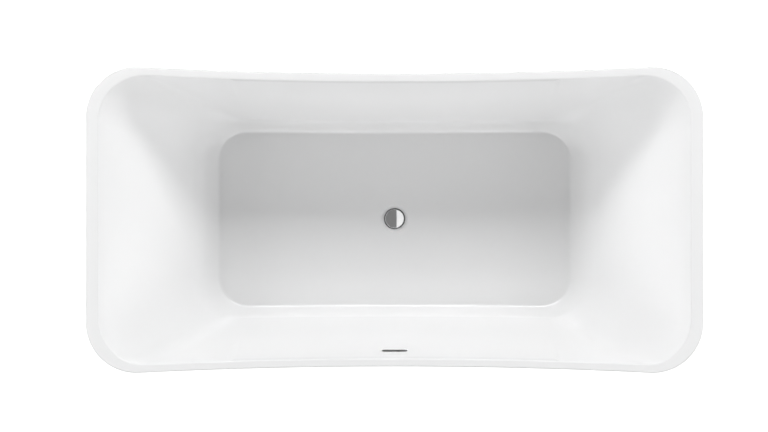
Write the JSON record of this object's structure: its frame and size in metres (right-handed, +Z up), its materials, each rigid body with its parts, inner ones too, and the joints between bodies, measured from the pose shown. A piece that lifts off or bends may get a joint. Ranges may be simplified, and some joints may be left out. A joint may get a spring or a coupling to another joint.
{
  "type": "freestanding bathtub",
  "caption": "Freestanding double-walled bathtub with bowed-in long sides, a slim flat rim, a centre pop-up waste, a slot overflow and levelling feet.",
  "frame": {"origin": "on the floor at the middle of the bath's footprint, level with the underside of the foot pads", "axes": "+X along the bath's length, +Y across it away from the overflow slot, +Z up"},
  "size_m": [1.7, 0.842, 0.58],
  "materials": {
    "acrylic": "polished white sanitary acrylic",
    "adhesive": "cured adhesive bead",
    "board": "chipboard",
    "galvanised": "galvanised sheet steel",
    "zinc": "zinc-plated steel",
    "chrome": "polished chrome plate",
    "brass": "machined brass",
    "rubber": "moulded black rubber",
    "grey_plastic": "moulded pale grey polypropylene",
    "black_plastic": "moulded black plastic"
  },
  "bodies": {
    "bath": {"basin": "acrylic", "skirt": "acrylic", "rim_bond": "adhesive", "base_board": "board", "rail_front": "galvanised", "rail_back": "galvanised", "crossbar_left": "galvanised", "crossbar_centre_left": "galvanised", "crossbar_centre_right": "galvanised", "crossbar_right": "galvanised", "frame_bolts": "zinc", "frame_nuts": "zinc", "tube_end_caps": "black_plastic", "board_screws": "zinc", "skirt_brackets": "galvanised", "bracket_screws": "zinc", "foot_washers": "zinc", "foot_lock_nuts": "zinc", "waste_flange": "chrome", "waste_grid": "chrome", "flange_gasket": "rubber", "waste_washer": "rubber", "waste_body": "grey_plastic", "plug_cartridge": "brass", "plug_spring": "zinc", "outlet_washer": "rubber", "outlet_nut": "grey_plastic", "outlet_pipe": "grey_plastic", "overflow_box": "grey_plastic", "overflow_gasket": "rubber", "overflow_studs": "zinc", "overflow_nuts": "zinc", "overflow_hose": "black_plastic", "hose_clip_upper": "zinc", "hose_clip_lower": "zinc"},
    "foot_1": {"foot_pad_1": "black_plastic", "foot_stud_1": "zinc"},
    "nut_1": {"adjusting_nut_1": "zinc"},
    "foot_2": {"foot_pad_2": "black_plastic", "foot_stud_2": "zinc"},
    "nut_2": {"adjusting_nut_2": "zinc"},
    "foot_3": {"foot_pad_3": "black_plastic", "foot_stud_3": "zinc"},
    "nut_3": {"adjusting_nut_3": "zinc"},
    "foot_4": {"foot_pad_4": "black_plastic", "foot_stud_4": "zinc"},
    "nut_4": {"adjusting_nut_4": "zinc"},
    "foot_5": {"foot_pad_5": "black_plastic", "foot_stud_5": "zinc"},
    "nut_5": {"adjusting_nut_5": "zinc"},
    "foot_6": {"foot_pad_6": "black_plastic", "foot_stud_6": "zinc"},
    "nut_6": {"adjusting_nut_6": "zinc"},
    "plug": {"plug_cap": "chrome", "plug_seal": "rubber", "plug_plunger": "brass"},
    "latch": {"latch_rotor": "black_plastic"}
  },
  "joints": [
    {"name": "adjusting_nut_1_turn", "type": "hinge", "parent": "bath", "child": "nut_1", "pos_m": [-0.6, -0.25, 0.0583], "axis": [0, 0, 1], "range_deg": [0, 4110]},
    {"name": "foot_1_extend", "type": "slide", "parent": "bath", "child": "foot_1", "axis": [0, 0, -1], "range_m": [0, 0.02]},
    {"name": "adjusting_nut_2_turn", "type": "hinge", "parent": "bath", "child": "nut_2", "pos_m": [-0.6, 0.25, 0.0583], "axis": [0, 0, 1], "range_deg": [0, 4110]},
    {"name": "foot_2_extend", "type": "slide", "parent": "bath", "child": "foot_2", "axis": [0, 0, -1], "range_m": [0, 0.02]},
    {"name": "adjusting_nut_3_turn", "type": "hinge", "parent": "bath", "child": "nut_3", "pos_m": [0.6, -0.25, 0.0583], "axis": [0, 0, 1], "range_deg": [0, 4110]},
    {"name": "foot_3_extend", "type": "slide", "parent": "bath", "child": "foot_3", "axis": [0, 0, -1], "range_m": [0, 0.02]},
    {"name": "adjusting_nut_4_turn", "type": "hinge", "parent": "bath", "child": "nut_4", "pos_m": [0.6, 0.25, 0.0583], "axis": [0, 0, 1], "range_deg": [0, 4110]},
    {"name": "foot_4_extend", "type": "slide", "parent": "bath", "child": "foot_4", "axis": [0, 0, -1], "range_m": [0, 0.02]},
    {"name": "adjusting_nut_5_turn", "type": "hinge", "parent": "bath", "child": "nut_5", "pos_m": [-0.17, 0, 0.0583], "axis": [0, 0, 1], "range_deg": [0, 4110]},
    {"name": "foot_5_extend", "type": "slide", "parent": "bath", "child": "foot_5", "axis": [0, 0, -1], "range_m": [0, 0.02]},
    {"name": "adjusting_nut_6_turn", "type": "hinge", "parent": "bath", "child": "nut_6", "pos_m": [0.17, 0, 0.0583], "axis": [0, 0, 1], "range_deg": [0, 4110]},
    {"name": "foot_6_extend", "type": "slide", "parent": "bath", "child": "foot_6", "axis": [0, 0, -1], "range_m": [0, 0.02]},
    {"name": "plug_lift", "type": "slide", "parent": "bath", "child": "plug", "axis": [0, 0, 1], "range_m": [0, 0.009], "deforming": ["plug_spring"]},
    {"name": "latch_turn", "type": "hinge", "parent": "bath", "child": "latch", "pos_m": [0, 0, 0.1255], "axis": [0, 0, 1], "range_deg": [0, 45]}
  ],
  "couplings": [
    {"joint": "foot_1_extend", "follows": "adjusting_nut_1_turn", "m_per_rad": 0.00027852},
    {"joint": "foot_2_extend", "follows": "adjusting_nut_2_turn", "m_per_rad": 0.00027852},
    {"joint": "foot_3_extend", "follows": "adjusting_nut_3_turn", "m_per_rad": 0.00027852},
    {"joint": "foot_4_extend", "follows": "adjusting_nut_4_turn", "m_per_rad": 0.00027852},
    {"joint": "foot_5_extend", "follows": "adjusting_nut_5_turn", "m_per_rad": 0.00027852},
    {"joint": "foot_6_extend", "follows": "adjusting_nut_6_turn", "m_per_rad": 0.00027852},
    {"joint": "latch_turn", "follows": "plug_lift", "rad_per_m": 87.2}
  ]
}
